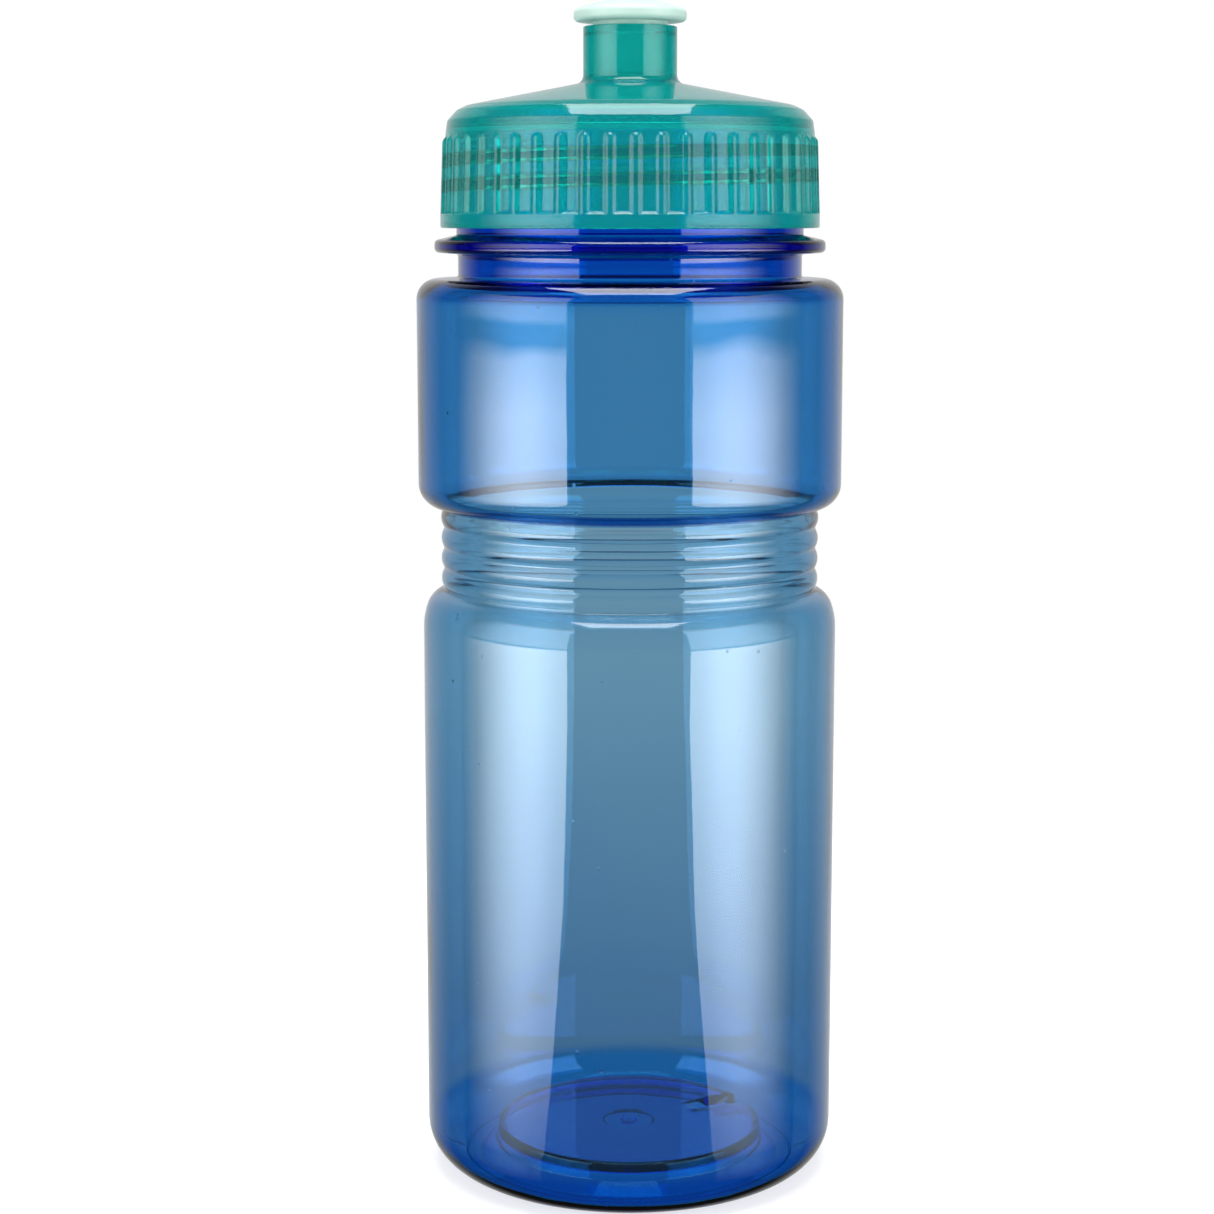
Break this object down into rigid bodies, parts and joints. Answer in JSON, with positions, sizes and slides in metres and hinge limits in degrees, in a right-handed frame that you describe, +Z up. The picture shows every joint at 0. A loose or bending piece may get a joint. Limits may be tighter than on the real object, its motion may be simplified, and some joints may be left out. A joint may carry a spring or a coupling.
{
  "type": "sports squeeze bottle",
  "caption": "Round sports squeeze bottle with a ribbed waist, a threaded neck, a ribbed screw cap with a spout tower, and a push-pull nozzle.",
  "frame": {"origin": "centre of the base's resting plane, on the bottle's axis", "axes": "+Z up along the bottle's axis towards the nozzle; -Y faces the viewer, +X to the viewer's right"},
  "size_m": [0.073, 0.073, 0.2026],
  "materials": {
    "blue_bottle_plastic": "clear tinted, glossy",
    "teal_cap_plastic": "translucent, satin gloss",
    "clear_gasket_silicone": "translucent, soft satin",
    "mint_nozzle_plastic": "frosted translucent"
  },
  "bodies": {
    "bottle": {"bottle_body": "blue_bottle_plastic"},
    "gasket": {"cap_gasket": "clear_gasket_silicone"},
    "cap": {"screw_cap": "teal_cap_plastic"},
    "nozzle": {"push_pull_nozzle": "mint_nozzle_plastic"}
  },
  "joints": [
    {"name": "cap_lift", "type": "slide", "parent": "bottle", "child": "gasket", "axis": [0, 0, 1], "range_m": [0, 0.01693]},
    {"name": "cap_turn", "type": "hinge", "parent": "gasket", "child": "cap", "pos_m": [0, 0, 0.1812], "axis": [0, 0, 1], "range_deg": [0, 1440]},
    {"name": "nozzle_pull", "type": "slide", "parent": "cap", "child": "nozzle", "axis": [0, 0, 1], "range_m": [0, 0.006]}
  ],
  "couplings": [
    {"joint": "cap_lift", "follows": "cap_turn", "m_per_rad": 0.00067376}
  ]
}
